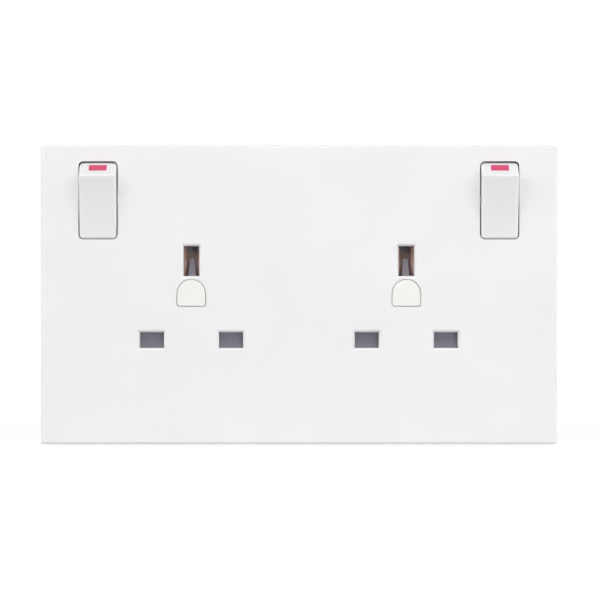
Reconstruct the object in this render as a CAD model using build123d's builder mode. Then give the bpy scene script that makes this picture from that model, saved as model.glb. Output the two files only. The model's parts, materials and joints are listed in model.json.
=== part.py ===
from build123d import *
import math
import os

# A two-outlet switched wall socket that screws to a one-outlet wall box.
# Sizes are millimetres and degrees. +X is right, +Z is up and +Y goes into the wall.
# The wall plane is y = 0, and a standoff is a distance in front of it, towards the viewer.

# Front plate
plate_width = 146.0
plate_height = 85.0
plate_standoff = 26.5
plate_draft = 1.5
plate_wall = 2.2
plate_face = 2.6
plate_corner_radius = 0.9
plate_edge_radius = 0.5

# Pins of the plug, and the slots that take them
gang_spacing = 60.3
pin_spread = 22.2
pin_rise = 22.2
line_pin_z = -12.8
line_pin_width = 6.35
line_pin_thickness = 4.0
earth_pin_width = 4.0
earth_pin_height = 8.0
slot_clearance = 0.225
slot_bevel = 0.6
slot_depth = 4.5
slot_guard_wall = 1.9

# Fixing holes to the wall box, and the caps in front of them
fixing_hole_radius = 2.0
fixing_wall = 1.2
screw_well_radius = 3.25
screw_seat_standoff = 12.0
cap_radius = 4.0
cap_rise = 0.2
cap_foot = 3.5
cap_corner_radius = 0.7
cap_thickness = 1.5
cap_edge_radius = 0.35
cap_clearance = 0.14
cap_plug_length = 2.2
cap_plug_clearance = 0.06
cap_plug_wall = 1.0

# Rockers
rocker_inset_x = 16.7
rocker_inset_z = 16.1
rocker_opening_width = 11.0
rocker_opening_height = 21.9
rocker_opening_corner = 1.4
rocker_side_gap = 0.3
rocker_foot_gap = 0.3
rocker_brow_gap = 0.6
rocker_pivot_depth = 3.2
rocker_half_travel = 12.0
rocker_foot_proud = 0.2
rocker_brow_sunk = 1.0
rocker_crease = 8.2
rocker_dish = 0.5
rocker_skirt = 2.6
rocker_wall = 1.3
rocker_corner_radius = 1.0
rocker_edge_radius = 0.6
trunnion_radius = 1.5
trunnion_length = 1.9
trunnion_clearance = 0.05
cheek_thickness = 2.2
cheek_half_height = 3.6
flag_width = 5.0
flag_height = 2.7
flag_depth = 0.6
flag_share = 0.59

# Plunger and its spring inside each rocker
plunger_radius = 1.2
plunger_clearance = 0.05
plunger_head = 1.0
plunger_travel = 0.4
barrel_wall = 1.0
barrel_length = 3.6
plunger_spring_wire = 0.18
plunger_spring_turns = 3

# See-saw contact behind each rocker
seesaw_drop = 9.2
seesaw_half_length = 9.6
seesaw_width = 4.0
seesaw_thickness = 1.2
seesaw_gap = 0.05
knife_radius = 0.7
knife_clearance = 0.08
knife_cover = 0.25
rivet_arm = 8.0
rivet_radius = 1.3
rivet_height = 0.9
contact_gap = 0.05
fixed_rivet_height = 0.6

# Shutters
shutter_cover_above = 2.75
shutter_cover_below = 3.2
shutter_overlap = 1.1
shutter_ramp = 3.0
shutter_back = 1.0
shutter_travel = 5.2
shutter_clearance = 0.3
shutter_peg_radius = 0.9
shutter_peg_length = 2.0
shutter_stem_half_width = 6.6
shutter_stem_thickness = 1.6
shutter_window_clearance = 0.3
finger_half_width = 1.1
finger_tip_half_width = 0.7
finger_tip = 1.0
finger_bevel = 0.1
guide_thickness = 1.2
stop_width = 6.0
spring_length = 15.0
spring_radius = 1.6
spring_wire = 0.22
spring_turns = 6
ledge_half_width = 4.0
ledge_thickness = 1.6

# Rear base and spigot
base_floor = 2.5
base_setback = 0.4
base_clearance = 0.4
spigot_width = 48.0
spigot_height = 56.0
spigot_depth = 11.5
spigot_wall = 2.0
spigot_corner_radius = 3.0
spigot_edge_radius = 0.8
housing_wall = 1.2
housing_gap = 0.3
core_columns = 4
core_rib = 1.6
core_rows = 2
core_top = 5.0
core_bottom = -13.5
back_rib = 2.0
pocket_depth = 0.9
pocket_columns = 2
pocket_rows = 4
pocket_corner_radius = 1.0

# Copper and brass pieces
strip_thickness = 1.0
clip_thickness = 0.8
clip_width = 5.6
clip_throat = 1.8
clip_shoulder = 2.6
clip_mouth = 3.0
clip_lip = 1.7
clip_setback = 0.6
clip_side_room = 0.5
strip_width = 5.0
neutral_bar_z = -20.5
terminal_size = 8.0
terminal_depth = 8.5
terminal_x = 10.0
terminal_z = 18.0
wire_hole_radius = 1.6
wire_hole_depth = 2.2
terminal_screw_radius = 1.8
terminal_head_radius = 2.8
terminal_head_height = 1.8
terminal_room = 1.5
driver_slot_width = 0.8
driver_slot_depth = 0.8

# Screws that hold the base to the plate
assembly_inset_x = 7.8
assembly_inset_z = 5.7
assembly_screw_radius = 1.4
assembly_screw_length = 12.0
assembly_screw_clearance = 0.05
assembly_head_radius = 2.5
assembly_head_height = 1.3
assembly_boss_radius = 2.9

# Which way a rectangle reaches from its place
upwards = (Align.CENTER, Align.MIN)
downwards = (Align.CENTER, Align.MAX)

# Levels and places worked out from the sizes above
face_back = plate_standoff - plate_face
guard_back = plate_standoff - slot_depth
shutter_front = guard_back - shutter_clearance
shutter_rear = shutter_front - shutter_ramp - shutter_back
housing_front = shutter_rear - shutter_clearance
line_clip_front = housing_front - clip_setback
earth_clip_front = guard_back - clip_setback
floor_front = base_setback + base_floor
gang_x = gang_spacing / 2
earth_pin_z = line_pin_z + pin_rise
line_slot_width = line_pin_width + 2 * slot_clearance
line_slot_height = line_pin_thickness + 2 * slot_clearance
earth_slot_width = earth_pin_width + 2 * slot_clearance
earth_slot_height = earth_pin_height + 2 * slot_clearance
fixing_tube_radius = screw_well_radius + fixing_wall
pivot_standoff = plate_standoff - rocker_pivot_depth
knife_standoff = pivot_standoff - seesaw_drop
rocker_x = plate_width / 2 - rocker_inset_x
rocker_z = plate_height / 2 - rocker_inset_z
assembly_screw_x = plate_width / 2 - assembly_inset_x
assembly_screw_z = plate_height / 2 - assembly_inset_z
rocker_half_width = rocker_opening_width / 2 - rocker_side_gap
shutter_half_width = pin_spread / 2 + line_slot_width / 2 + shutter_overlap
shutter_top = line_pin_z + shutter_cover_above
shutter_bottom = line_pin_z - shutter_cover_below
spring_seat_z = shutter_bottom - spring_length
spring_standoff = (shutter_front + shutter_rear) / 2
clip_half_room = clip_mouth + clip_thickness / 2 + housing_gap
line_room_width = clip_width + 2 * clip_side_room
earth_room_height = earth_slot_height + 2 * housing_gap
earth_room_bottom = earth_pin_z - earth_room_height / 2
stem_front = shutter_rear + shutter_stem_thickness
stem_top = earth_room_bottom
shutter_window_radius = screw_well_radius + shutter_window_clearance
finger_top = earth_pin_z - earth_pin_height / 2 + shutter_travel - shutter_clearance
gangs = {"left": -gang_x, "right": gang_x}
rockers = {"left": -rocker_x, "right": rocker_x}
live_clip_x = {side: x + pin_spread / 2 for side, x in gangs.items()}
neutral_clip_x = {side: x - pin_spread / 2 for side, x in gangs.items()}
line_clip_points = [(x, line_pin_z) for x in [*live_clip_x.values(), *neutral_clip_x.values()]]
terminals = {
    "live": (-terminal_x, terminal_z, floor_front),
    "earth": (terminal_x, terminal_z, floor_front - strip_thickness),
    "neutral": (0, neutral_bar_z, floor_front),
}
assembly_points = [
    (sign_x * assembly_screw_x, sign_z * assembly_screw_z) for sign_x in (-1, 1) for sign_z in (-1, 1)
]

# Rocker outline: points are (inwards, up) from the pivot, in the rocker's own tilted plane
on_cos = math.cos(math.radians(rocker_half_travel))
on_sin = math.sin(math.radians(rocker_half_travel))
sweep_room = math.hypot(rocker_opening_height / 2, rocker_pivot_depth)
rocker_sweep = {1: sweep_room - rocker_brow_gap, -1: sweep_room - rocker_foot_gap}


def rocker_point(proud: float, end: int) -> tuple[float, float]:
    """The point of the rocker's end arc that stands this far out from the pivot when switched on."""
    up = end * math.sqrt(rocker_sweep[end] ** 2 - proud**2)
    return -(proud * on_cos - up * on_sin), up * on_cos + proud * on_sin


def sweep_point(inwards: float, end: int) -> tuple[float, float]:
    """The point of the rocker's end arc at a given depth in the rocker's own plane."""
    return inwards, end * math.sqrt(rocker_sweep[end] ** 2 - inwards**2)


foot_point = rocker_point(rocker_pivot_depth + rocker_foot_proud, -1)
brow_point = rocker_point(rocker_pivot_depth - rocker_brow_sunk, 1)
crease_point = (foot_point[0], rocker_crease)
dish_point = (foot_point[0] + rocker_dish, (foot_point[1] + crease_point[1]) / 2)
brow_end = sweep_point((brow_point[0] + rocker_skirt) / 2, 1)
foot_end = sweep_point((foot_point[0] + rocker_skirt) / 2, -1)
face_inside = dish_point[0] + rocker_wall
tip_reach = seesaw_drop - knife_cover - seesaw_thickness - seesaw_gap - plunger_radius
plunger_spring_radius = plunger_radius - 2 * plunger_spring_wire
rivet_low = (rivet_height - knife_cover) * on_cos + (rivet_arm + rivet_radius) * on_sin
contact_front = knife_standoff - rivet_low - contact_gap
contact_strip_front = contact_front - fixed_rivet_height
contact_z = rocker_z + rivet_arm * on_cos


def side_plane(x: float, standoff: float, z: float, tilt: float = 0.0) -> Plane:
    """A plane across the part whose first axis goes inwards and second axis goes up, tilted about X."""
    lean = math.radians(tilt)
    return Plane((x, -standoff, z), x_dir=(0, math.cos(lean), math.sin(lean)), z_dir=(1, 0, 0))


def inward_plane(plane: Plane, inwards: float) -> Plane:
    """A plane at right angles to a side plane's first axis, this far along it, facing inwards."""
    return Plane(plane.from_local_coords((inwards, 0, 0)), x_dir=(1, 0, 0), z_dir=plane.x_dir)


def save(solid: Part, name: str) -> None:
    """Label a finished piece and write it to its own file."""
    solid.label = name
    export_step(solid, f"parts/{name}.step")


def clip_outline(front: float, foot: float) -> Sketch:
    """Two sprung blades that face each other: first axis inwards from the front, second axis across."""
    with BuildSketch() as outline:
        for sign in (-1, 1):
            with BuildLine():
                Polyline(
                    (-front, sign * clip_mouth),
                    (-front + clip_lip, sign * clip_throat),
                    (-front + 2 * clip_lip, sign * clip_shoulder),
                    (-foot, sign * clip_shoulder),
                )
            trace(line_width=clip_thickness)
    return outline.sketch


def outlet_slots(margin: float) -> None:
    """Draw the six pin slots of both outlets in the current sketch, each grown by a margin."""
    with Locations(*line_clip_points):
        Rectangle(line_slot_width + 2 * margin, line_slot_height + 2 * margin)
    with Locations(*[(x, earth_pin_z) for x in gangs.values()]):
        Rectangle(earth_slot_width + 2 * margin, earth_slot_height + 2 * margin)


def cap_outline(sketch: BuildSketch, centres: list[float], margin: float) -> None:
    """Draw caps in a sketch, round above and flat below with small corners, grown by a margin."""
    radius = cap_radius + margin
    foot = cap_foot + margin
    with Locations(*[(x, cap_rise) for x in centres]):
        Circle(radius)
        Rectangle(2 * radius, foot, align=downwards)
    with Locations(*[(x, cap_rise - foot) for x in centres]):
        Rectangle(2 * radius, radius, align=downwards, mode=Mode.SUBTRACT)
    fillet(sketch.vertices().group_by(Axis.Y)[0], cap_corner_radius + margin)


os.makedirs("parts", exist_ok=True)

# Front plate: drafted shell with slots, cap wells, rocker openings and the walls that carry pieces
with BuildPart() as front_plate:
    with BuildSketch(Plane.XZ):
        RectangleRounded(plate_width, plate_height, plate_corner_radius)
    extrude(amount=plate_standoff, taper=plate_draft)
    front_rim = front_plate.faces().sort_by(Axis.Y)[0].outer_wire().edges()
    fillet(front_rim, plate_edge_radius)
    with BuildSketch(Plane.XZ):
        Rectangle(plate_width - 2 * plate_wall, plate_height - 2 * plate_wall)
    extrude(amount=face_back, taper=plate_draft, mode=Mode.SUBTRACT)
    # Guards behind the slots and round the wells that the fixing screws pass through
    with BuildSketch(Plane.XZ.offset(guard_back)):
        outlet_slots(slot_guard_wall)
        with Locations(*[(x, 0) for x in gangs.values()]):
            Circle(fixing_tube_radius)
    extrude(amount=slot_depth - plate_face)
    # Bosses for the screws that hold the base
    with BuildSketch(Plane.XZ.offset(floor_front)):
        with Locations(*assembly_points):
            Circle(assembly_boss_radius)
    extrude(amount=face_back - floor_front)
    # Cheeks that carry the rocker trunnions
    cheek_x = rocker_opening_width / 2 + cheek_thickness / 2
    cheek_back = pivot_standoff - cheek_half_height
    with BuildSketch(Plane.XZ.offset(cheek_back)):
        with Locations(*[(x + sign * cheek_x, rocker_z) for x in rockers.values() for sign in (-1, 1)]):
            Rectangle(cheek_thickness, 2 * cheek_half_height)
    extrude(amount=face_back - cheek_back)
    # Guides beside each shutter, stops above its wings, and the ledge below its spring
    guide_x = shutter_half_width + shutter_clearance + guide_thickness / 2
    guide_top = shutter_top + shutter_clearance + guide_thickness
    guide_height = guide_top - shutter_bottom + shutter_travel
    with BuildSketch(Plane.XZ.offset(shutter_rear)):
        with Locations(*[(x + sign * guide_x, guide_top) for x in gangs.values() for sign in (-1, 1)]):
            Rectangle(guide_thickness, guide_height, align=downwards)
        with Locations(*[(x, guide_top) for x, z in line_clip_points]):
            Rectangle(stop_width, guide_thickness, align=downwards)
        with Locations(*[(x, spring_seat_z) for x in gangs.values()]):
            Rectangle(2 * ledge_half_width, ledge_thickness, align=downwards)
    extrude(amount=face_back - shutter_rear)
    with BuildSketch(Plane.XY.offset(spring_seat_z)):
        with Locations(*[(x, -spring_standoff) for x in gangs.values()]):
            Circle(shutter_peg_radius)
    extrude(amount=shutter_peg_length)
    # Slots with their bevelled mouths
    with BuildSketch(Plane.XZ.offset(guard_back)):
        outlet_slots(0)
    extrude(amount=slot_depth, mode=Mode.SUBTRACT)
    with BuildSketch(Plane.XZ.offset(plate_standoff)):
        outlet_slots(slot_bevel)
    extrude(amount=-slot_bevel, taper=45, mode=Mode.SUBTRACT)
    # Cap wells, and the screw wells behind them
    with BuildSketch(Plane.XZ.offset(plate_standoff - cap_thickness)) as well_outline:
        cap_outline(well_outline, list(gangs.values()), cap_clearance)
    extrude(amount=cap_thickness, mode=Mode.SUBTRACT)
    with BuildSketch(Plane.XZ.offset(guard_back)):
        with Locations(*[(x, 0) for x in gangs.values()]):
            Circle(screw_well_radius)
    extrude(amount=slot_depth, mode=Mode.SUBTRACT)
    # Rocker openings, hollowed at both ends to follow the rocker's sweep, and the trunnion bearings
    for x in rockers.values():
        with BuildSketch(side_plane(x, pivot_standoff, rocker_z)):
            Circle(sweep_room)
            with Locations((-rocker_pivot_depth, 0)):
                Rectangle(plate_face, 2 * sweep_room, align=(Align.MIN, Align.CENTER), mode=Mode.INTERSECT)
        extrude(amount=rocker_opening_width / 2, both=True, mode=Mode.SUBTRACT)
    sweep_corners = front_plate.edges().filter_by(GeomType.CIRCLE).group_by(SortBy.RADIUS)[-1]
    fillet(sweep_corners, rocker_opening_corner)
    for x in rockers.values():
        with BuildSketch(side_plane(x, pivot_standoff, rocker_z)):
            Circle(trunnion_radius + trunnion_clearance)
        extrude(amount=rocker_opening_width / 2 + cheek_thickness, both=True, mode=Mode.SUBTRACT)
    # Pilot holes for the assembly screws
    with BuildSketch(Plane.XZ.offset(floor_front)):
        with Locations(*assembly_points):
            Circle(assembly_screw_radius + assembly_screw_clearance)
    extrude(amount=assembly_screw_length, mode=Mode.SUBTRACT)
save(front_plate.part, "front_plate")

# Caps: a lid that fills its well and a hollow plug in the screw well
for side, x in gangs.items():
    with BuildPart() as screw_cap:
        with BuildSketch(Plane.XZ.offset(plate_standoff - cap_thickness)) as lid_outline:
            cap_outline(lid_outline, [x], 0)
        extrude(amount=cap_thickness)
        fillet(screw_cap.faces().sort_by(Axis.Y)[0].outer_wire().edges(), cap_edge_radius)
        with BuildSketch(Plane.XZ.offset(plate_standoff - cap_thickness)):
            with Locations((x, 0)):
                Circle(screw_well_radius - cap_plug_clearance)
                Circle(screw_well_radius - cap_plug_clearance - cap_plug_wall, mode=Mode.SUBTRACT)
        extrude(amount=-cap_plug_length)
    save(screw_cap.part, f"screw_cap_{side}")

# Rocker outline, with its first axis inwards and its second axis up, and the pivot at its origin
with BuildSketch() as rocker_outline:
    with BuildLine():
        ThreePointArc(foot_point, dish_point, crease_point)
        Line(crease_point, brow_point)
        ThreePointArc(brow_point, brow_end, sweep_point(rocker_skirt, 1))
        Line(sweep_point(rocker_skirt, 1), sweep_point(rocker_skirt, -1))
        ThreePointArc(sweep_point(rocker_skirt, -1), foot_end, foot_point)
    make_face()

for side, x in rockers.items():
    tilted = side_plane(x, pivot_standoff, rocker_z, rocker_half_travel)
    facet_run = Vector(brow_point) - Vector(crease_point)
    facet_normal = Vector(-facet_run.Y, facet_run.X)
    flag_centre = Vector(crease_point) + facet_run * flag_share
    flag_normal = tilted.from_local_coords(facet_normal) - tilted.origin
    flag_plane = Plane(tilted.from_local_coords(flag_centre), x_dir=(1, 0, 0), z_dir=flag_normal)

    # Rocker: hollow, dished, with trunnions on its sides and a barrel for the plunger
    with BuildPart() as rocker:
        with BuildSketch(tilted):
            add(rocker_outline.sketch)
        extrude(amount=rocker_half_width, both=True)
        ends = rocker.faces().filter_by(GeomType.CYLINDER).sort_by(Axis.Z)
        end_edges = ends[0].edges() + ends[-1].edges()
        fillet(end_edges.filter_by(Axis.X, reverse=True), rocker_corner_radius)
        shown_faces = rocker.faces().sort_by(Axis.Y)[:2]
        fillet(shown_faces[0].edges() + shown_faces[1].edges(), rocker_edge_radius)
        with BuildSketch(tilted):
            add(rocker_outline.sketch)
            offset(amount=-rocker_wall, mode=Mode.REPLACE)
            with Locations((rocker_skirt, 0)):
                Rectangle(3 * rocker_wall, 2 * (sweep_point(rocker_skirt, 1)[1] - rocker_wall))
        extrude(amount=rocker_half_width - rocker_wall, both=True, mode=Mode.SUBTRACT)
        barrel_start = dish_point[0] + rocker_wall / 2
        with BuildSketch(inward_plane(tilted, barrel_start)):
            Circle(plunger_radius + plunger_clearance + barrel_wall)
        extrude(amount=barrel_length - barrel_start)
        with BuildSketch(inward_plane(tilted, face_inside)):
            Circle(plunger_radius + plunger_clearance)
        extrude(amount=barrel_length - face_inside, mode=Mode.SUBTRACT)
        for sign in (-1, 1):
            with BuildSketch(tilted.offset(sign * rocker_half_width)):
                Circle(trunnion_radius)
            extrude(amount=sign * trunnion_length)
        with BuildSketch(flag_plane):
            Rectangle(flag_width, flag_height)
        extrude(amount=-flag_depth, mode=Mode.SUBTRACT)
    save(rocker.part, f"rocker_{side}")

    # Red flag let into the upper facet
    with BuildPart() as on_flag:
        with BuildSketch(flag_plane):
            Rectangle(flag_width, flag_height)
        extrude(amount=-flag_depth)
    save(on_flag.part, f"on_flag_{side}")

    # Plunger with a round tip
    with BuildPart() as plunger:
        with BuildSketch(tilted):
            with BuildLine():
                Polyline((tip_reach, plunger_radius), (plunger_head, plunger_radius), (plunger_head, 0))
                Line((plunger_head, 0), (tip_reach + plunger_radius, 0))
                RadiusArc((tip_reach + plunger_radius, 0), (tip_reach, plunger_radius), -plunger_radius)
            make_face()
        revolve(axis=Axis(tilted.origin, tilted.x_dir))
    save(plunger.part, f"plunger_{side}")

    # Coil spring between the plunger and the blind end of its barrel
    spring_start = face_inside + plunger_travel + 2 * plunger_spring_wire
    coil_height = plunger_head - plunger_spring_wire - spring_start
    with BuildPart() as plunger_spring:
        with BuildLine():
            coil = Helix(
                coil_height / plunger_spring_turns,
                coil_height,
                plunger_spring_radius,
                center=tilted.from_local_coords((spring_start, 0, 0)),
                direction=tilted.x_dir,
            )
        with BuildSketch(coil ^ 0):
            RegularPolygon(plunger_spring_wire, 6)
        sweep(path=coil, is_frenet=True)
    save(plunger_spring.part, f"plunger_spring_{side}")

    # See-saw contact, tipped against the rocker, with a rivet at its upper end
    tipped = side_plane(x, knife_standoff, rocker_z, -rocker_half_travel)
    with BuildPart() as seesaw:
        with BuildSketch(tipped):
            with Locations((-knife_cover, 0)):
                Rectangle(seesaw_thickness, 2 * seesaw_half_length, align=(Align.MAX, Align.CENTER))
            Circle(knife_radius + knife_clearance, mode=Mode.SUBTRACT)
        extrude(amount=seesaw_width / 2, both=True)
        with BuildSketch(inward_plane(tipped, -knife_cover)):
            with Locations((0, -rivet_arm)):
                Circle(rivet_radius)
        extrude(amount=rivet_height)
    save(seesaw.part, f"seesaw_contact_{side}")

# Shutters: ramped wings behind the line slots, and a finger that the earth pin pushes down first
for side, x in gangs.items():
    with BuildPart() as shutter:
        with BuildSketch(side_plane(x, 0, 0)):
            with BuildLine():
                Polyline(
                    (-shutter_rear, shutter_bottom),
                    (-shutter_rear, shutter_top),
                    (-shutter_rear - shutter_back, shutter_top),
                    (-shutter_front, shutter_bottom),
                    close=True,
                )
            make_face()
        extrude(amount=shutter_half_width, both=True)
        bridge_half_width = pin_spread / 2 - line_slot_width / 2 - shutter_overlap
        with BuildSketch(Plane.XZ.offset(shutter_rear + shutter_back)):
            with Locations((x, shutter_bottom + shutter_back)):
                Rectangle(2 * bridge_half_width, shutter_top - shutter_bottom, align=upwards)
        extrude(amount=shutter_ramp, mode=Mode.SUBTRACT)
        # Stem with a window for the fixing screw, and the ramped finger above it
        with BuildSketch(Plane.XZ.offset(shutter_rear)):
            with Locations((x, stem_top)):
                Rectangle(2 * shutter_stem_half_width, stem_top - shutter_bottom, align=downwards)
        extrude(amount=shutter_stem_thickness)
        with BuildSketch(Plane.XZ.offset(shutter_rear)):
            with Locations((x, 0)):
                Circle(shutter_window_radius)
        extrude(amount=shutter_stem_thickness, mode=Mode.SUBTRACT)
        with BuildSketch(side_plane(x, 0, 0)):
            with BuildLine():
                Polyline(
                    (-shutter_rear, shutter_window_radius),
                    (-shutter_rear, finger_top),
                    (-shutter_rear - finger_tip, finger_top),
                    (-shutter_front + finger_bevel, stem_top),
                    (-shutter_front + finger_bevel, shutter_window_radius),
                    close=True,
                )
            make_face()
        extrude(amount=finger_half_width, both=True)
        for sign in (-1, 1):
            with BuildSketch(Plane.XZ.offset(shutter_rear)):
                with BuildLine():
                    Polyline(
                        (x + sign * finger_half_width, stem_top),
                        (x + sign * finger_half_width, finger_top),
                        (x + sign * finger_tip_half_width, finger_top),
                        close=True,
                    )
                make_face()
            extrude(amount=shutter_front - shutter_rear, mode=Mode.SUBTRACT)
        with BuildSketch(Plane.XY.offset(shutter_bottom)):
            with Locations((x, -spring_standoff)):
                Circle(shutter_peg_radius)
        extrude(amount=-shutter_peg_length)
    save(shutter.part, f"shutter_{side}")

    coil_height = spring_length - 4 * spring_wire
    with BuildPart() as shutter_spring:
        with BuildLine():
            coil = Helix(
                coil_height / spring_turns,
                coil_height,
                spring_radius,
                center=(x, -spring_standoff, spring_seat_z + 2 * spring_wire),
            )
        with BuildSketch(coil ^ 0):
            RegularPolygon(spring_wire, 6)
        sweep(path=coil, is_frenet=True)
    save(shutter_spring.part, f"shutter_spring_{side}")

# Rear base: a floor inside the plate's rim, housings for the clips, and a spigot for the terminals
with BuildPart() as rear_base:
    with BuildSketch(Plane.XZ.offset(base_setback)):
        margin = plate_wall + base_clearance
        Rectangle(plate_width - 2 * margin, plate_height - 2 * margin)
    extrude(amount=base_floor)
    with BuildSketch(Plane.XZ.offset(base_setback)):
        RectangleRounded(spigot_width, spigot_height, spigot_corner_radius)
    extrude(amount=-base_setback - spigot_depth)
    fillet(rear_base.faces().sort_by(Axis.Y)[-1].outer_wire().edges(), spigot_edge_radius)
    # Tubes for the fixing screws, housings round the clips, and pillars under the fixed contacts
    with BuildSketch(Plane.XZ):
        with Locations(*[(x, 0) for x in gangs.values()]):
            Circle(fixing_tube_radius)
    extrude(amount=housing_front)
    with BuildSketch(Plane.XZ.offset(floor_front)):
        with Locations(*line_clip_points):
            Rectangle(line_room_width + 2 * housing_wall, 2 * clip_half_room + 2 * housing_wall)
            Rectangle(line_room_width, 2 * clip_half_room, mode=Mode.SUBTRACT)
        with Locations(*[(x, earth_room_bottom) for x in gangs.values()]):
            Rectangle(2 * clip_half_room + 2 * housing_wall, earth_room_height + housing_wall, align=upwards)
            Rectangle(2 * clip_half_room, earth_room_height, align=upwards, mode=Mode.SUBTRACT)
    extrude(amount=housing_front - floor_front)
    with BuildSketch(Plane.XZ.offset(floor_front)):
        with Locations(*[(x, contact_z) for x in rockers.values()]):
            Rectangle(strip_width, strip_width)
    extrude(amount=contact_strip_front - strip_thickness - floor_front)
    # Notches where the live strips come in from above, and windows for the neutral bar below
    notch_width = strip_width + 2 * housing_gap
    notch_height = clip_half_room + housing_wall
    with BuildSketch(Plane.XZ.offset(contact_strip_front - strip_thickness - housing_gap)):
        with Locations(*[(x, line_pin_z) for x in live_clip_x.values()]):
            Rectangle(notch_width, notch_height, align=upwards)
    extrude(until=Until.LAST, mode=Mode.SUBTRACT)
    with BuildSketch(Plane.XZ.offset(floor_front)):
        with Locations(*[(x, line_pin_z) for x in neutral_clip_x.values()]):
            Rectangle(notch_width, notch_height, align=downwards)
    extrude(amount=strip_thickness + housing_gap, mode=Mode.SUBTRACT)
    # Groove for the earth bar and pockets for the terminals
    with BuildSketch(Plane.XZ.offset(floor_front - strip_thickness)):
        with Locations((0, earth_pin_z)):
            Rectangle(gang_spacing, strip_width + 2 * housing_gap)
        with Locations(*[(x, earth_pin_z) for x in gangs.values()]):
            Rectangle(2 * clip_half_room, earth_room_height)
        with Locations((terminals["earth"][0], earth_pin_z)):
            Rectangle(notch_width, terminal_z - earth_pin_z, align=upwards)
    extrude(amount=strip_thickness, mode=Mode.SUBTRACT)
    with BuildSketch(Plane.XZ.offset(spigot_wall - spigot_depth)):
        with Locations(*[(x, z) for x, z, front in terminals.values()]):
            Rectangle(terminal_size + 2 * terminal_room, terminal_size + 2 * terminal_room)
    extrude(amount=floor_front + spigot_depth - spigot_wall, mode=Mode.SUBTRACT)
    # Driver holes in the back of the spigot, and wire entries through its rims
    with BuildSketch(Plane.XZ.offset(-spigot_depth)):
        with Locations(*[(x, z) for x, z, front in terminals.values()]):
            Circle(terminal_head_radius + housing_gap)
    extrude(amount=spigot_wall, mode=Mode.SUBTRACT)
    for x, z, front in terminals.values():
        with BuildSketch(Plane.XY.offset(z)):
            with Locations((x, wire_hole_depth)):
                Circle(wire_hole_radius + housing_gap)
        extrude(amount=math.copysign(spigot_height, z), mode=Mode.SUBTRACT)
    # Cells that lighten the middle of the spigot, open to the back
    cell_width = (spigot_width - 2 * spigot_wall + core_rib) / core_columns
    cell_height = (core_top - core_bottom + core_rib) / core_rows
    with BuildSketch(Plane.XZ.offset(-spigot_depth)):
        with Locations((0, (core_top + core_bottom) / 2)):
            with GridLocations(cell_width, cell_height, core_columns, core_rows):
                Rectangle(cell_width - core_rib, cell_height - core_rib)
    extrude(amount=spigot_depth + base_setback, mode=Mode.SUBTRACT)
    # Shallow pockets between ribs that lighten the floor on both sides of the spigot
    pocket_start = gang_x + fixing_tube_radius + back_rib
    pocket_end = assembly_screw_x - assembly_head_radius - housing_gap - back_rib
    pocket_top = assembly_screw_z - assembly_head_radius - housing_gap - back_rib
    pocket_width = (pocket_end - pocket_start + back_rib) / pocket_columns
    pocket_height = (2 * pocket_top + back_rib) / pocket_rows
    with BuildSketch(Plane.XZ.offset(base_setback)):
        with Locations(*[(sign * (pocket_start + pocket_end) / 2, 0) for sign in (-1, 1)]):
            with GridLocations(pocket_width, pocket_height, pocket_columns, pocket_rows):
                RectangleRounded(pocket_width - back_rib, pocket_height - back_rib, pocket_corner_radius)
    extrude(amount=pocket_depth, mode=Mode.SUBTRACT)
    # Fixing holes with their screw wells, and seats for the assembly screws
    with BuildSketch(Plane.XZ):
        with Locations(*[(x, 0) for x in gangs.values()]):
            Circle(fixing_hole_radius)
    extrude(amount=screw_seat_standoff, mode=Mode.SUBTRACT)
    with BuildSketch(Plane.XZ.offset(screw_seat_standoff)):
        with Locations(*[(x, 0) for x in gangs.values()]):
            Circle(screw_well_radius)
    extrude(amount=housing_front - screw_seat_standoff, mode=Mode.SUBTRACT)
    with BuildSketch(Plane.XZ.offset(base_setback)):
        with Locations(*assembly_points):
            Circle(assembly_screw_radius + assembly_screw_clearance)
    extrude(amount=base_floor, mode=Mode.SUBTRACT)
    with BuildSketch(Plane.XZ.offset(base_setback)):
        with Locations(*assembly_points):
            Circle(assembly_head_radius + housing_gap)
    extrude(amount=assembly_head_height, mode=Mode.SUBTRACT)
save(rear_base.part, "rear_base")

# Live contacts: a clip for the pin, joined by a strip to the fixed contact behind the rocker
for side, x in live_clip_x.items():
    contact_x = rockers[side]
    with BuildPart() as live_contact:
        with BuildSketch(side_plane(x, 0, line_pin_z)):
            add(clip_outline(line_clip_front, floor_front))
        extrude(amount=clip_width / 2, both=True)
        with BuildSketch(Plane.XZ.offset(floor_front)):
            with Locations((x, line_pin_z)):
                Rectangle(clip_width, 2 * clip_shoulder + clip_thickness)
        extrude(amount=strip_thickness)
        with BuildSketch(Plane.XZ.offset(contact_strip_front - strip_thickness)):
            with Locations((x, line_pin_z + clip_shoulder)):
                strip_rise = contact_z + strip_width / 2 - line_pin_z - clip_shoulder
                Rectangle(strip_width, strip_rise, align=upwards)
            with Locations(((x + contact_x) / 2, contact_z)):
                Rectangle(abs(contact_x - x) + strip_width, strip_width)
        extrude(amount=strip_thickness)
        with BuildSketch(Plane.XZ.offset(contact_strip_front)):
            with Locations((contact_x, contact_z)):
                Circle(rivet_radius)
        extrude(amount=fixed_rivet_height)
    save(live_contact.part, f"live_contact_{side}")

# Live bar: feeds both see-saws through upright knife edges
with BuildPart() as live_bar:
    with BuildSketch(Plane.XZ.offset(floor_front)):
        with Locations((0, rocker_z)):
            Rectangle(2 * rocker_x + strip_width, strip_width)
        with Locations((terminals["live"][0], rocker_z)):
            Rectangle(strip_width, rocker_z - terminal_z + terminal_size / 2, align=downwards)
    extrude(amount=strip_thickness)
    for x in rockers.values():
        with BuildSketch(side_plane(x, knife_standoff, rocker_z)):
            Circle(knife_radius)
            knife_height = knife_standoff - floor_front - strip_thickness
            Rectangle(knife_height, 2 * knife_radius, align=(Align.MIN, Align.CENTER))
        extrude(amount=seesaw_width / 2, both=True)
save(live_bar.part, "live_bar")

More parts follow.
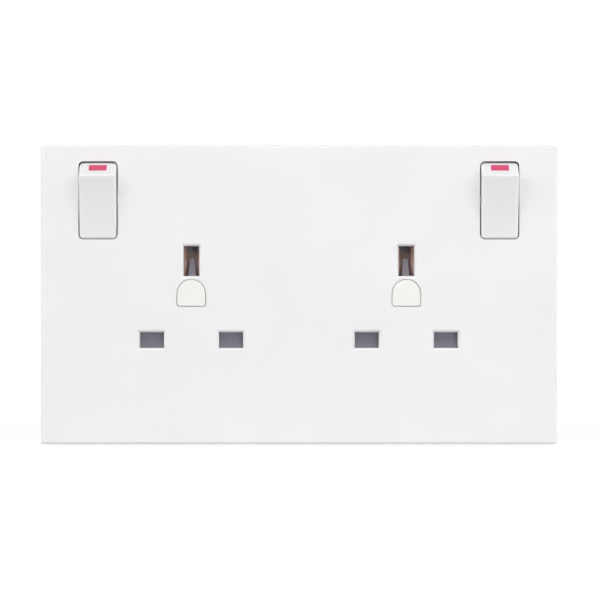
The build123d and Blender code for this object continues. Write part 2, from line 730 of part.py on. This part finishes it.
# Neutral bar: one strip with a clip at each end
with BuildPart() as neutral_bar:
    with BuildSketch(Plane.XZ.offset(floor_front)):
        with Locations((sum(neutral_clip_x.values()) / 2, neutral_bar_z)):
            Rectangle(gang_spacing + strip_width, strip_width)
        with Locations(*[(x, line_pin_z) for x in neutral_clip_x.values()]):
            Rectangle(strip_width, line_pin_z - neutral_bar_z, align=downwards)
            Rectangle(clip_width, 2 * clip_shoulder + clip_thickness)
    extrude(amount=strip_thickness)
    for x in neutral_clip_x.values():
        with BuildSketch(side_plane(x, 0, line_pin_z)):
            add(clip_outline(line_clip_front, floor_front))
        extrude(amount=clip_width / 2, both=True)
save(neutral_bar.part, "neutral_bar")

# Earth bar: let into the floor, with a tall clip at each end
with BuildPart() as earth_bar:
    with BuildSketch(Plane.XZ.offset(floor_front - strip_thickness)):
        with Locations((0, earth_pin_z)):
            Rectangle(gang_spacing + 2 * clip_shoulder + clip_thickness, strip_width)
        with Locations((terminals["earth"][0], earth_pin_z)):
            tab_height = terminal_z - earth_pin_z + terminal_size / 2
            Rectangle(strip_width, tab_height, align=upwards)
    extrude(amount=strip_thickness)
    for x in gangs.values():
        with BuildSketch(Plane((x, 0, earth_pin_z), x_dir=(0, 1, 0), z_dir=(0, 0, 1))):
            add(clip_outline(earth_clip_front, floor_front - strip_thickness))
        extrude(amount=earth_slot_height / 2, both=True)
save(earth_bar.part, "earth_bar")

# Terminals: brass blocks behind the bars, bored for the wire and for the clamp screw
for name, (x, z, front) in terminals.items():
    with BuildPart() as terminal:
        with BuildSketch(Plane.XZ.offset(front)):
            with Locations((x, z)):
                Rectangle(terminal_size, terminal_size)
        extrude(amount=-terminal_depth)
        with BuildSketch(Plane.XY.offset(z)):
            with Locations((x, wire_hole_depth)):
                Circle(wire_hole_radius)
        extrude(amount=terminal_size / 2, both=True, mode=Mode.SUBTRACT)
        with BuildSketch(Plane.XZ.offset(front - terminal_depth)):
            with Locations((x, z)):
                Circle(terminal_screw_radius + assembly_screw_clearance)
        extrude(amount=terminal_depth - front - wire_hole_depth, mode=Mode.SUBTRACT)
    save(terminal.part, f"{name}_terminal")

# Clamp screws of the terminals, with slotted heads at the back
with BuildPart() as terminal_screws:
    for x, z, front in terminals.values():
        head_front = front - terminal_depth
        with BuildSketch(Plane.XZ.offset(head_front)):
            with Locations((x, z)):
                Circle(terminal_screw_radius)
        extrude(amount=terminal_depth - front - wire_hole_depth - wire_hole_radius)
        with BuildSketch(Plane.XZ.offset(head_front)):
            with Locations((x, z)):
                Circle(terminal_head_radius)
        extrude(amount=-terminal_head_height)
        with BuildSketch(Plane.XZ.offset(head_front - terminal_head_height)):
            with Locations((x, z)):
                Rectangle(2 * terminal_head_radius, driver_slot_width)
        extrude(amount=driver_slot_depth, mode=Mode.SUBTRACT)
save(terminal_screws.part, "terminal_screws")

# Screws that hold the base in the plate, with slotted heads sunk in the base
with BuildPart() as assembly_screws:
    head_front = base_setback + assembly_head_height
    with BuildSketch(Plane.XZ.offset(head_front)):
        with Locations(*assembly_points):
            Circle(assembly_screw_radius)
    extrude(amount=assembly_screw_length)
    with BuildSketch(Plane.XZ.offset(base_setback)):
        with Locations(*assembly_points):
            Circle(assembly_head_radius)
    extrude(amount=assembly_head_height)
    with BuildSketch(Plane.XZ.offset(base_setback)):
        with Locations(*assembly_points):
            Rectangle(2 * assembly_head_radius, driver_slot_width)
    extrude(amount=driver_slot_depth, mode=Mode.SUBTRACT)
save(assembly_screws.part, "assembly_screws")
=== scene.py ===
import json
import logging
import math
from dataclasses import dataclass, field
from enum import Enum
from functools import cache

import bpy
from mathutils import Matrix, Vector


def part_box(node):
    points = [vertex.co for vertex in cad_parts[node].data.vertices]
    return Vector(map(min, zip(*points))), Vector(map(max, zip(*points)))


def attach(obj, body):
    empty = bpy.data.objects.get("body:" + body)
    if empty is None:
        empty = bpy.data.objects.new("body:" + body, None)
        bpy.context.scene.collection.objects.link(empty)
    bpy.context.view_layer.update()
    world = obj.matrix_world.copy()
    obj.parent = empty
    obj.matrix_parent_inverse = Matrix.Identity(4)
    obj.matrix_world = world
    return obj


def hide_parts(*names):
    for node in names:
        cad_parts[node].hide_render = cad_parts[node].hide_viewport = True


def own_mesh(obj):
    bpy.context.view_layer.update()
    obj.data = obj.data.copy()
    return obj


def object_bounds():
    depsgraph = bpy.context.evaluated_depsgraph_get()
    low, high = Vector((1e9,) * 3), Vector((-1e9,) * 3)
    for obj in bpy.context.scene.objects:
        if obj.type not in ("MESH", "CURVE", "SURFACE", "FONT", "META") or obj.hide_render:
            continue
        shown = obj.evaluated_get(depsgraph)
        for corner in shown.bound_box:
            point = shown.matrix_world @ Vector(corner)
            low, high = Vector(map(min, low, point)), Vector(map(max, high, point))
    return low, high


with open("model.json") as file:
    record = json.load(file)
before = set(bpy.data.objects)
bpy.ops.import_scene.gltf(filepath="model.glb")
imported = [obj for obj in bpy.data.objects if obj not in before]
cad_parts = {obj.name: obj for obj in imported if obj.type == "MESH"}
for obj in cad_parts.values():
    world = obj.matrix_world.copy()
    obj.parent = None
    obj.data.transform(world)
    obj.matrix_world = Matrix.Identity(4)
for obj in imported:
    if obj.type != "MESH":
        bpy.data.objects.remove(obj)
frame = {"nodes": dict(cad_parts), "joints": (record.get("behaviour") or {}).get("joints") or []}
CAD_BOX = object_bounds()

# Dresses a white two-outlet converter socket and photographs it straight from the front.
# Lengths are metres in the frame of the solids: +X right, +Z up, +Y into the wall.

LOG = logging.getLogger("converter_socket")
MM = 0.001
# Each outlet's side, as seen from the front, with the sign of its place along X.
SIDES = {"left": -1, "right": 1}
JOINTS = {joint["name"]: joint for joint in frame["joints"]}
# Most of a noise pattern lies between these two values.
PATTERN_ENDS = (0.3, 0.7)
WHITE = (1.0, 1.0, 1.0, 1.0)
FLOOR_CORNERS = ((-1, -1), (1, -1), (1, 1), (-1, 1))

Pair = tuple[float, float]
Colour = tuple[float, float, float, float]


def linear(red: int, green: int, blue: int) -> Colour:
    """Turn a colour as it looks on screen, 0 to 255, into the linear colour that shaders take.

    The numbers are those of the sRGB curve, which is straight near black and a power above.

    Args:
        red: Red part of the screen colour.
        green: Green part of the screen colour.
        blue: Blue part of the screen colour.

    Returns:
        The linear colour, with full alpha.
    """
    parts = []
    for value in (red, green, blue):
        share = value / 255
        parts.append(share / 12.92 if share <= 0.04045 else ((share + 0.055) / 1.055) ** 2.4)
    return (*parts, 1.0)


class Grain(Enum):
    """How the surface of a finish is worked, as a scale of its noise along X, Y and Z."""

    EVEN = (1.0, 1.0, 1.0)
    DRAWN = (0.08, 1.0, 1.0)
    TURNED = (1.0, 0.12, 1.0)


class ShaderGraph:
    """A material's node tree, with short calls for the nodes that the finishes share."""

    def __init__(self, name: str, grain: Grain) -> None:
        """Start a material whose patterns read Object coordinates, stretched as the grain says.

        Args:
            name: Name of the material.
            grain: How the surface is worked.
        """
        self.material = bpy.data.materials.new(name)
        self.material.use_nodes = True
        self.tree = self.material.node_tree
        self.shader = self.tree.nodes["Principled BSDF"]
        coordinates = self.tree.nodes.new("ShaderNodeTexCoord")
        mapping = self.tree.nodes.new("ShaderNodeMapping")
        mapping.inputs["Scale"].default_value = grain.value
        self.tree.links.new(coordinates.outputs["Object"], mapping.inputs["Vector"])
        self.place = mapping.outputs["Vector"]

    def noise(self, size: float, detail: float) -> bpy.types.NodeSocket:
        """Add a noise pattern.

        Args:
            size: Size of one patch of the pattern, in metres.
            detail: How many finer layers it has.

        Returns:
            The pattern's value socket.
        """
        node = self.tree.nodes.new("ShaderNodeTexNoise")
        node.inputs["Scale"].default_value = 1 / size
        node.inputs["Detail"].default_value = detail
        self.tree.links.new(self.place, node.inputs["Vector"])
        return node.outputs["Fac"]

    def reach(self) -> bpy.types.NodeSocket:
        """Measure how far each point is from the origin.

        Returns:
            The distance's socket.
        """
        node = self.tree.nodes.new("ShaderNodeVectorMath")
        node.operation = "LENGTH"
        self.tree.links.new(self.place, node.inputs[0])
        return node.outputs["Value"]

    def span(
        self, pattern: bpy.types.NodeSocket, values: Pair, ends: Pair = PATTERN_ENDS,
    ) -> bpy.types.NodeSocket:
        """Spread a pattern over a span of values.

        Args:
            pattern: The pattern to spread.
            values: The values at the pattern's lower and upper end.
            ends: The pattern's own values at both ends.

        Returns:
            The spread value's socket.
        """
        node = self.tree.nodes.new("ShaderNodeMapRange")
        for name, value in zip(("From Min", "From Max", "To Min", "To Max"), (*ends, *values)):
            node.inputs[name].default_value = value
        self.tree.links.new(pattern, node.inputs["Value"])
        return node.outputs["Result"]

    def tint(self, pattern: bpy.types.NodeSocket, near: Colour, far: Colour) -> bpy.types.NodeSocket:
        """Let a pattern drift between two colours.

        Args:
            pattern: The pattern that mixes them.
            near: Colour at the pattern's lower end.
            far: Colour at its upper end.

        Returns:
            The colour socket.
        """
        node = self.tree.nodes.new("ShaderNodeValToRGB")
        for stop, position, colour in zip(node.color_ramp.elements, PATTERN_ENDS, (near, far)):
            stop.position = position
            stop.color = colour
        self.tree.links.new(pattern, node.inputs["Fac"])
        return node.outputs["Color"]

    def bump(
        self,
        pattern: bpy.types.NodeSocket,
        depth: float,
        strength: float,
        under: bpy.types.NodeSocket | None = None,
    ) -> bpy.types.NodeSocket:
        """Make a pattern into relief.

        Args:
            pattern: The pattern that gives the height.
            depth: Height of the relief, in metres.
            strength: Share of the relief that shows.
            under: Normal of a coarser relief below this one.

        Returns:
            The normal socket.
        """
        node = self.tree.nodes.new("ShaderNodeBump")
        node.inputs["Distance"].default_value = depth
        node.inputs["Strength"].default_value = strength
        self.tree.links.new(pattern, node.inputs["Height"])
        if under is not None:
            self.tree.links.new(under, node.inputs["Normal"])
        return node.outputs["Normal"]

    def plug(self, socket: bpy.types.NodeSocket, name: str) -> None:
        """Link a socket to the shader's input of that name."""
        self.tree.links.new(socket, self.shader.inputs[name])


@dataclass(frozen=True)
class MouldedPlastic:
    """A moulded plastic: close tints, a faint flow of the melt, and the mould's fine texture."""

    name: str
    near: Colour
    far: Colour
    roughness: Pair = (0.28, 0.36)
    specular: float = 0.5
    translucency: float = 0.0
    scatter_depth: float = 0.8 * MM
    flow_size: float = 22 * MM
    flow_detail: float = 3.0
    flow_depth: float = 0.016 * MM
    flow_strength: float = 0.25
    texture_size: float = 0.35 * MM
    texture_detail: float = 2.0
    texture_depth: float = 0.004 * MM
    texture_strength: float = 0.5

    @cache
    def material(self) -> bpy.types.Material:
        """Make the plastic's material at the first call.

        Returns:
            The material, the same one at every call.
        """
        graph = ShaderGraph(self.name, Grain.EVEN)
        graph.shader.inputs["Specular IOR Level"].default_value = self.specular
        graph.shader.inputs["Subsurface Weight"].default_value = self.translucency
        graph.shader.inputs["Subsurface Radius"].default_value = (1.0, 1.0, 1.0)
        graph.shader.inputs["Subsurface Scale"].default_value = self.scatter_depth
        flow = graph.noise(self.flow_size, self.flow_detail)
        texture = graph.noise(self.texture_size, self.texture_detail)
        graph.plug(graph.tint(flow, self.near, self.far), "Base Color")
        graph.plug(graph.span(texture, self.roughness), "Roughness")
        waviness = graph.bump(flow, self.flow_depth, self.flow_strength)
        graph.plug(graph.bump(texture, self.texture_depth, self.texture_strength, waviness), "Normal")
        return graph.material


@dataclass(frozen=True)
class WorkedMetal:
    """A sheet or turned metal: bright, with drawn lines and a little tarnish."""

    name: str
    near: Colour
    far: Colour
    grain: Grain = Grain.DRAWN
    roughness: Pair = (0.22, 0.4)
    metallic: float = 1.0
    tarnish_size: float = 3 * MM
    tarnish_detail: float = 4.0
    line_size: float = 0.12 * MM
    line_detail: float = 2.0
    line_depth: float = 0.004 * MM
    line_strength: float = 0.6

    @cache
    def material(self) -> bpy.types.Material:
        """Make the metal's material at the first call.

        Returns:
            The material, the same one at every call.
        """
        graph = ShaderGraph(self.name, self.grain)
        graph.shader.inputs["Metallic"].default_value = self.metallic
        tarnish = graph.noise(self.tarnish_size, self.tarnish_detail)
        lines = graph.noise(self.line_size, self.line_detail)
        graph.plug(graph.tint(tarnish, self.near, self.far), "Base Color")
        graph.plug(graph.span(lines, self.roughness), "Roughness")
        graph.plug(graph.bump(lines, self.line_depth, self.line_strength), "Normal")
        return graph.material


WHITE_PLASTIC = MouldedPlastic(
    "white_plastic", linear(236, 235, 236), linear(239, 238, 239), translucency=0.6,
)
CAP_PLASTIC = MouldedPlastic(
    "cap_plastic", linear(238, 237, 233), linear(241, 240, 236), translucency=0.6,
)
# The rockers are the same white plastic as the plate; their colour is set a few levels darker than the
# plate's as painted shade, standing in for the shading on the rockers' faces.
ROCKER_PLASTIC_WITH_PAINTED_SHADE = MouldedPlastic(
    "rocker_plastic", linear(233, 232, 233), linear(236, 235, 236), (0.2, 0.27), translucency=0.6,
)
FLAG_RED = MouldedPlastic(
    "flag_red", linear(207, 73, 113), linear(216, 83, 121), (0.4, 0.5), specular=0.25, flow_size=3 * MM,
)
SHUTTER_GREY = MouldedPlastic(
    "shutter_grey", linear(164, 161, 173), linear(170, 167, 179), (0.45, 0.55),
)
BASE_PALE = MouldedPlastic(
    "base_pale", linear(208, 206, 207), linear(214, 212, 213), (0.5, 0.62),
)
PLUNGER_NYLON = MouldedPlastic(
    "plunger_nylon", linear(226, 222, 212), linear(232, 229, 220), (0.4, 0.5),
)
CONTACT_BRASS = WorkedMetal(
    "contact_brass", linear(244, 217, 208), linear(250, 227, 218), roughness=(0.38, 0.55),
)
SCREW_STEEL = WorkedMetal(
    "screw_steel", linear(186, 186, 188), linear(204, 204, 206), Grain.TURNED,
)


def dress(node: str, finish: MouldedPlastic | WorkedMetal) -> None:
    """Give a carried-over solid its material.

    Args:
        node: Name of the solid.
        finish: The finish that it gets.
    """
    mesh = frame["nodes"][node].data
    mesh.materials.clear()
    mesh.materials.append(finish.material())
    LOG.info("%s dressed in %s", node, finish.name)


class ShapeTree:
    """A geometry node tree that makes one kind of piece from named sizes."""

    def __init__(self, name: str, sizes: dict[str, str]) -> None:
        """Start a tree with an input for each size and one for the material.

        Args:
            name: Name of the tree.
            sizes: Socket type of each named size, without its common first part, such as Float.
        """
        self.tree = bpy.data.node_groups.new(name, "GeometryNodeTree")
        self.keys: dict[str, str] = {}
        for size, kind in {**sizes, "Material": "Material"}.items():
            socket = self.tree.interface.new_socket(
                size, in_out="INPUT", socket_type="NodeSocket" + kind,
            )
            self.keys[size] = socket.identifier
        self.tree.interface.new_socket("Geometry", in_out="OUTPUT", socket_type="NodeSocketGeometry")
        self.sizes = self.tree.nodes.new("NodeGroupInput")

    def node(self, kind: str, **inputs: object) -> bpy.types.Node:
        """Add a node and fill its inputs.

        Args:
            kind: Node type without its common first part.
            inputs: A value, a socket or the name of a size for each input, with _ for a space in
                the input's name.

        Returns:
            The new node.
        """
        node = self.tree.nodes.new("GeometryNode" + kind)
        for name, value in inputs.items():
            target = node.inputs[name.replace("_", " ")]
            if isinstance(value, bpy.types.NodeSocket):
                self.tree.links.new(value, target)
            elif isinstance(value, str):
                self.tree.links.new(self.sizes.outputs[value], target)
            else:
                target.default_value = value
        return node

    def close(self, shape: bpy.types.NodeSocket) -> None:
        """Realise a shape, make it smooth, give it its material and end the tree with it.

        Args:
            shape: Socket of the finished geometry.
        """
        real = self.node("RealizeInstances", Geometry=shape)
        smooth = self.node("SetShadeSmooth", Geometry=real.outputs[0])
        painted = self.node("SetMaterial", Geometry=smooth.outputs[0], Material="Material")
        end = self.tree.nodes.new("NodeGroupOutput")
        self.tree.links.new(painted.outputs[0], end.inputs[0])

    def make(self, name: str, material: bpy.types.Material, **sizes: object) -> bpy.types.Object:
        """Make one piece as a plain mesh.

        Args:
            name: Name of the piece.
            material: Its material.
            sizes: A value for each named size, with _ for a space in its name.

        Returns:
            The finished piece, with its place in its mesh.
        """
        holder = bpy.data.objects.new(name + "_holder", bpy.data.meshes.new(name + "_holder"))
        bpy.context.collection.objects.link(holder)
        modifier = holder.modifiers.new("shape", "NODES")
        modifier.node_group = self.tree
        modifier[self.keys["Material"]] = material
        for size, value in sizes.items():
            modifier[self.keys[size.replace("_", " ")]] = value
        depsgraph = bpy.context.evaluated_depsgraph_get()
        mesh = bpy.data.meshes.new_from_object(holder.evaluated_get(depsgraph))
        bpy.data.objects.remove(holder)
        mesh.name = name
        piece = bpy.data.objects.new(name, mesh)
        bpy.context.collection.objects.link(piece)
        return piece


@dataclass
class CoilWinder:
    """Winds springs of round wire in place of the plain six-sided coils of the solids."""

    finish: WorkedMetal = SCREW_STEEL
    steps_per_turn: int = 40
    wire_sides: int = 10
    shape: ShapeTree = field(init=False)

    def __post_init__(self) -> None:
        """Make the tree that winds a wire round an axis and sets it in place."""
        sizes = {
            "Turns": "Float", "Coil Radius": "Float", "Wire Radius": "Float", "Length": "Float",
            "Steps": "Int", "Sides": "Int", "Seat": "Vector", "Lean": "Rotation",
        }
        self.shape = ShapeTree("coil_spring", sizes)
        path = self.shape.node(
            "CurveSpiral", Resolution="Steps", Rotations="Turns", Start_Radius="Coil Radius",
            End_Radius="Coil Radius", Height="Length",
        )
        wire = self.shape.node("CurvePrimitiveCircle", Resolution="Sides", Radius="Wire Radius")
        coil = self.shape.node(
            "CurveToMesh", Curve=path.outputs[0], Profile_Curve=wire.outputs[0], Fill_Caps=True,
        )
        placed = self.shape.node(
            "Transform", Geometry=coil.outputs[0], Translation="Seat", Rotation="Lean",
        )
        self.shape.close(placed.outputs[0])

    def wind(self, node: str, axis: Vector, turns: float, wire: float) -> bpy.types.Object:
        """Wind one spring in the space that its solid holds.

        Args:
            node: Name of the solid that it stands for.
            axis: Direction of the coil's axis.
            turns: Number of turns.
            wire: Radius of the wire.

        Returns:
            The spring, which already stands for its solid.
        """
        points = [vertex.co for vertex in frame["nodes"][node].data.vertices]
        low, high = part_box(node)
        middle = (low + high) / 2
        along = [(point - middle).dot(axis) for point in points]
        across = max(((point - middle) - axis * reach).length for point, reach in zip(points, along))
        spring = self.shape.make(
            node + "_wound",
            self.finish.material(),
            Turns=turns,
            Coil_Radius=across - wire,
            Wire_Radius=wire,
            Length=max(along) - min(along) - 2 * wire,
            Steps=self.steps_per_turn,
            Sides=self.wire_sides,
            Seat=middle + axis * (min(along) + wire),
            Lean=axis.to_track_quat("Z", "Y").to_euler(),
        )
        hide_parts(node)
        LOG.info("%s wound with %d vertices", spring.name, len(spring.data.vertices))
        return spring


@dataclass
class Casing:
    """The front plate, the caps, the rear base with its ejector rings, and the corner screws.

    The rings are the faint marks that the mould's ejector pins leave in the pockets of the base's back.
    """

    plate: MouldedPlastic = WHITE_PLASTIC
    cap: MouldedPlastic = CAP_PLASTIC
    base: MouldedPlastic = BASE_PALE
    screws: WorkedMetal = SCREW_STEEL
    columns: int = 2
    rows: int = 4
    pitch: Pair = (12.9 * MM, 16.5 * MM)
    field_x: float = 48.5 * MM
    pocket_depth: float = 0.9 * MM
    ring_radius: float = 2.0 * MM
    ring_rise: float = 0.1 * MM
    ring_steps: int = 40
    ring_sides: int = 6

    def build(self) -> None:
        """Dress the mouldings and the screws that close the socket, and set the rings."""
        dress("front_plate", self.plate)
        dress("rear_base", self.base)
        for side in SIDES:
            dress(f"screw_cap_{side}", self.cap)
        dress("assembly_screws", self.screws)
        self.set_rings()

    def ring_tree(self) -> ShapeTree:
        """Make the tree that sets a ring on each point of a grid.

        Returns:
            The tree, ready to make one field of rings.
        """
        sizes = {
            "Width": "Float", "Height": "Float", "Columns": "Int", "Rows": "Int",
            "Ring Radius": "Float", "Rise": "Float", "Steps": "Int", "Sides": "Int",
            "Place": "Vector", "Turn": "Rotation",
        }
        shape = ShapeTree("ejector_marks", sizes)
        grid = shape.node(
            "MeshGrid", Size_X="Width", Size_Y="Height", Vertices_X="Columns", Vertices_Y="Rows",
        )
        circle = shape.node("CurvePrimitiveCircle", Resolution="Steps", Radius="Ring Radius")
        section = shape.node("CurvePrimitiveCircle", Resolution="Sides", Radius="Rise")
        ring = shape.node("CurveToMesh", Curve=circle.outputs[0], Profile_Curve=section.outputs[0])
        rings = shape.node("InstanceOnPoints", Points=grid.outputs[0], Instance=ring.outputs[0])
        placed = shape.node("Transform", Geometry=rings.outputs[0], Translation="Place", Rotation="Turn")
        shape.close(placed.outputs[0])
        return shape

    def set_rings(self) -> None:
        """Set a ring in each pocket of the base's back, on both sides of the spigot."""
        shape = self.ring_tree()
        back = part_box("assembly_screws")[1].y - self.pocket_depth
        for side, sign in SIDES.items():
            marks = shape.make(
                f"ejector_marks_{side}",
                self.base.material(),
                Width=(self.columns - 1) * self.pitch[0],
                Height=(self.rows - 1) * self.pitch[1],
                Columns=self.columns,
                Rows=self.rows,
                Ring_Radius=self.ring_radius,
                Rise=self.ring_rise,
                Steps=self.ring_steps,
                Sides=self.ring_sides,
                Place=Vector((sign * self.field_x, back, 0)),
                Turn=Vector((math.radians(90), 0, 0)),
            )
            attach(marks, "socket")
            LOG.info("%s set with %d vertices", marks.name, len(marks.data.vertices))


@dataclass
class Switches:
    """Both rockers with their flags, see-saws, plungers and plunger springs."""

    winder: CoilWinder
    # The rockers' finish is the plate's white with painted shade: a darker copy of it.
    rocker: MouldedPlastic = ROCKER_PLASTIC_WITH_PAINTED_SHADE
    flag: MouldedPlastic = FLAG_RED
    plunger: MouldedPlastic = PLUNGER_NYLON
    contact: WorkedMetal = CONTACT_BRASS
    spring_turns: float = 3.0
    spring_wire: float = 0.16 * MM

    def build(self) -> None:
        """Dress the pieces of both switches and wind their springs."""
        for side in SIDES:
            dress(f"rocker_{side}", self.rocker)
            dress(f"on_flag_{side}", self.flag)
            dress(f"plunger_{side}", self.plunger)
            dress(f"seesaw_contact_{side}", self.contact)
            self.wind_spring(side)

    def wind_spring(self, side: str) -> None:
        """Wind the spring that pushes a plunger, along the plunger's slide.

        Args:
            side: Side of the switch.
        """
        inwards = -Vector(JOINTS[f"plunger_{side}_slide"]["axis"])
        spring = self.winder.wind(
            f"plunger_spring_{side}", inwards, self.spring_turns, self.spring_wire,
        )
        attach(spring, f"plunger_{side}_body")


@dataclass
class Outlets:
    """The shutters with their springs, and the contacts and terminals behind the slots."""

    winder: CoilWinder
    shutter: MouldedPlastic = SHUTTER_GREY
    contact: WorkedMetal = CONTACT_BRASS
    screws: WorkedMetal = SCREW_STEEL
    poles: tuple[str, ...] = ("live", "neutral", "earth")
    spring_turns: float = 6.0
    spring_wire: float = 0.2 * MM

    def build(self) -> None:
        """Dress the pieces that carry current and those that guard them, and wind the springs."""
        for side in SIDES:
            dress(f"shutter_{side}", self.shutter)
            dress(f"live_contact_{side}", self.contact)
            self.wind_spring(side)
        for pole in self.poles:
            dress(f"{pole}_bar", self.contact)
            dress(f"{pole}_terminal", self.contact)
        dress("terminal_screws", self.screws)

    def wind_spring(self, side: str) -> None:
        """Wind the upright spring that lifts a shutter, and give it a mesh of its own.

        Args:
            side: Side of the outlet.
        """
        node = f"shutter_spring_{side}"
        spring = self.winder.wind(node, Vector((0, 0, 1)), self.spring_turns, self.spring_wire)
        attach(spring, "socket")
        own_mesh(spring)


@dataclass(frozen=True)
class SoftLamp:
    """A soft box that looks at the middle of the face.

    Its share is the part of a white surface's full brightness that it gives to the front, or to the back
    for a lamp behind the object. Rise and turn are degrees above the face's axis and to its right.
    A lamp that isn't mirrored lights the object without showing in its gloss.
    """

    name: str
    share: float
    rise: float
    turn: float
    distance: float = 2.0
    size: float = 1.0
    mirrored: bool = True

    def hang(self, face: Vector) -> None:
        """Hang the lamp.

        Args:
            face: Middle of the front plate's face.
        """
        rise = math.radians(self.rise)
        turn = math.radians(self.turn)
        aside = math.cos(rise) * math.sin(turn)
        before = math.cos(rise) * math.cos(turn)
        towards = Vector((aside, -before, math.sin(rise)))
        data = bpy.data.lights.new(self.name, "AREA")
        data.energy = self.share * (math.pi * self.distance) ** 2 / abs(before)
        data.size = self.size
        lamp = bpy.data.objects.new(self.name, data)
        lamp.location = face + self.distance * towards
        lamp.rotation_euler = towards.to_track_quat("Z", "Y").to_euler()
        lamp.visible_glossy = self.mirrored
        bpy.context.collection.objects.link(lamp)
        LOG.info("lamp %s hung at %.1f W", self.name, data.energy)


@dataclass
class Studio:
    """A white room: a pale floor, soft lamps round the object, even light all round, and the camera."""

    view_width: float = 168.2 * MM
    view_offset: Pair = (0.32 * MM, -1.54 * MM)
    camera_distance: float = 0.75
    lamps: tuple[SoftLamp, ...] = (
        SoftLamp("right", share=0.255, rise=32, turn=46),
        SoftLamp("left", share=0.245, rise=32, turn=-46),
        SoftLamp("front", share=0.44, rise=-1, turn=4, distance=1.4, size=0.3, mirrored=False),
        SoftLamp("edge_right", share=0.04, rise=5, turn=80, mirrored=False),
        SoftLamp("edge_left", share=0.04, rise=5, turn=-80, mirrored=False),
        SoftLamp("back_right", share=0.36, rise=10, turn=145, mirrored=False),
        SoftLamp("back_left", share=0.28, rise=10, turn=-150, mirrored=False),
    )
    ambient: float = 0.16
    floor_reach: float = 6.0
    floor_greys: tuple[Colour, Colour] = (linear(184, 184, 184), linear(188, 188, 188))
    floor_patch: float = 0.4
    floor_detail: float = 3.0
    floor_roughness: float = 0.9
    # The glow and what shows of the floor's own light add up to 1, white, for the camera. The lamps
    # light the floor less further out, so the glow rises there.
    floor_glow: float = 0.65
    glow_strength: Pair = (1.345, 1.51)
    glow_reach: Pair = (0.5, 1.6)

    def build(self) -> None:
        """Set up the camera, the lights, the world and the floor."""
        low, high = CAD_BOX
        face = Vector(((low.x + high.x) / 2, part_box("front_plate")[0].y, (low.z + high.z) / 2))
        self.place_camera(face)
        for lamp in self.lamps:
            lamp.hang(face)
        self.fill_world()
        self.lay_floor(low.z)
        bpy.context.scene.view_settings.view_transform = "Standard"

    def place_camera(self, face: Vector) -> None:
        """Put the camera square to the face, wide enough for the photograph's frame.

        Args:
            face: Middle of the front plate's face.
        """
        data = bpy.data.cameras.new("camera")
        data.lens = data.sensor_width * self.camera_distance / self.view_width
        camera = bpy.data.objects.new("camera", data)
        across, up = self.view_offset
        camera.location = face + Vector((across, -self.camera_distance, up))
        camera.rotation_euler = (math.radians(90), 0, 0)
        bpy.context.collection.objects.link(camera)
        bpy.context.scene.camera = camera

    def fill_world(self) -> None:
        """Light the room evenly, and show it white to the camera and in reflections."""
        world = bpy.data.worlds.new("studio")
        bpy.context.scene.world = world
        world.use_nodes = True
        tree = world.node_tree
        shown = tree.nodes["Background"]
        lit = tree.nodes.new("ShaderNodeBackground")
        for background, strength in ((shown, 1.0), (lit, self.ambient)):
            background.inputs["Color"].default_value = WHITE
            background.inputs["Strength"].default_value = strength
        mix = tree.nodes.new("ShaderNodeMixShader")
        tree.links.new(self.seen(tree), mix.inputs["Fac"])
        tree.links.new(lit.outputs["Background"], mix.inputs[1])
        tree.links.new(shown.outputs["Background"], mix.inputs[2])
        tree.links.new(mix.outputs["Shader"], tree.nodes["World Output"].inputs["Surface"])

    def seen(self, tree: bpy.types.NodeTree) -> bpy.types.NodeSocket:
        """Tell rays that show a surface from rays that only light one.

        Args:
            tree: Node tree that gets the nodes.

        Returns:
            A socket that is 1 for camera, glossy and transmission rays.
        """
        path = tree.nodes.new("ShaderNodeLightPath")
        found = path.outputs["Is Camera Ray"]
        for name in ("Is Glossy Ray", "Is Transmission Ray"):
            most = tree.nodes.new("ShaderNodeMath")
            most.operation = "MAXIMUM"
            tree.links.new(found, most.inputs[0])
            tree.links.new(path.outputs[name], most.inputs[1])
            found = most.outputs["Value"]
        return found

    def lay_floor(self, level: float) -> None:
        """Lay the floor under the object.

        Args:
            level: Height of the floor.
        """
        corners = [(x * self.floor_reach, y * self.floor_reach, level) for x, y in FLOOR_CORNERS]
        mesh = bpy.data.meshes.new("floor")
        mesh.from_pydata(corners, [], [(0, 1, 2, 3)])
        mesh.materials.append(self.floor_material())
        floor = bpy.data.objects.new("floor", mesh)
        bpy.context.collection.objects.link(floor)

    def floor_material(self) -> bpy.types.Material:
        """Make a white that glows for the camera and still takes the object's shadow.

        Returns:
            The floor's material.
        """
        graph = ShaderGraph("floor_white", Grain.EVEN)
        graph.shader.inputs["Roughness"].default_value = self.floor_roughness
        graph.shader.inputs["Specular IOR Level"].default_value = 0.0
        patches = graph.noise(self.floor_patch, self.floor_detail)
        graph.plug(graph.tint(patches, *self.floor_greys), "Base Color")
        tree = graph.tree
        glow = tree.nodes.new("ShaderNodeEmission")
        strength = graph.span(graph.reach(), self.glow_strength, self.glow_reach)
        tree.links.new(strength, glow.inputs["Strength"])
        share = tree.nodes.new("ShaderNodeMath")
        share.operation = "MULTIPLY"
        share.inputs[1].default_value = self.floor_glow
        tree.links.new(self.seen(tree), share.inputs[0])
        mix = tree.nodes.new("ShaderNodeMixShader")
        tree.links.new(share.outputs["Value"], mix.inputs["Fac"])
        tree.links.new(graph.shader.outputs["BSDF"], mix.inputs[1])
        tree.links.new(glow.outputs["Emission"], mix.inputs[2])
        tree.links.new(mix.outputs["Shader"], tree.nodes["Material Output"].inputs["Surface"])
        return graph.material


def main() -> None:
    """Build every sub-assembly in order, then the studio round it."""
    logging.basicConfig(level=logging.INFO)
    winder = CoilWinder()
    for assembly in (Casing(), Switches(winder), Outlets(winder), Studio()):
        assembly.build()
        LOG.info("%s done", type(assembly).__name__)


if __name__ == "__main__":
    main()
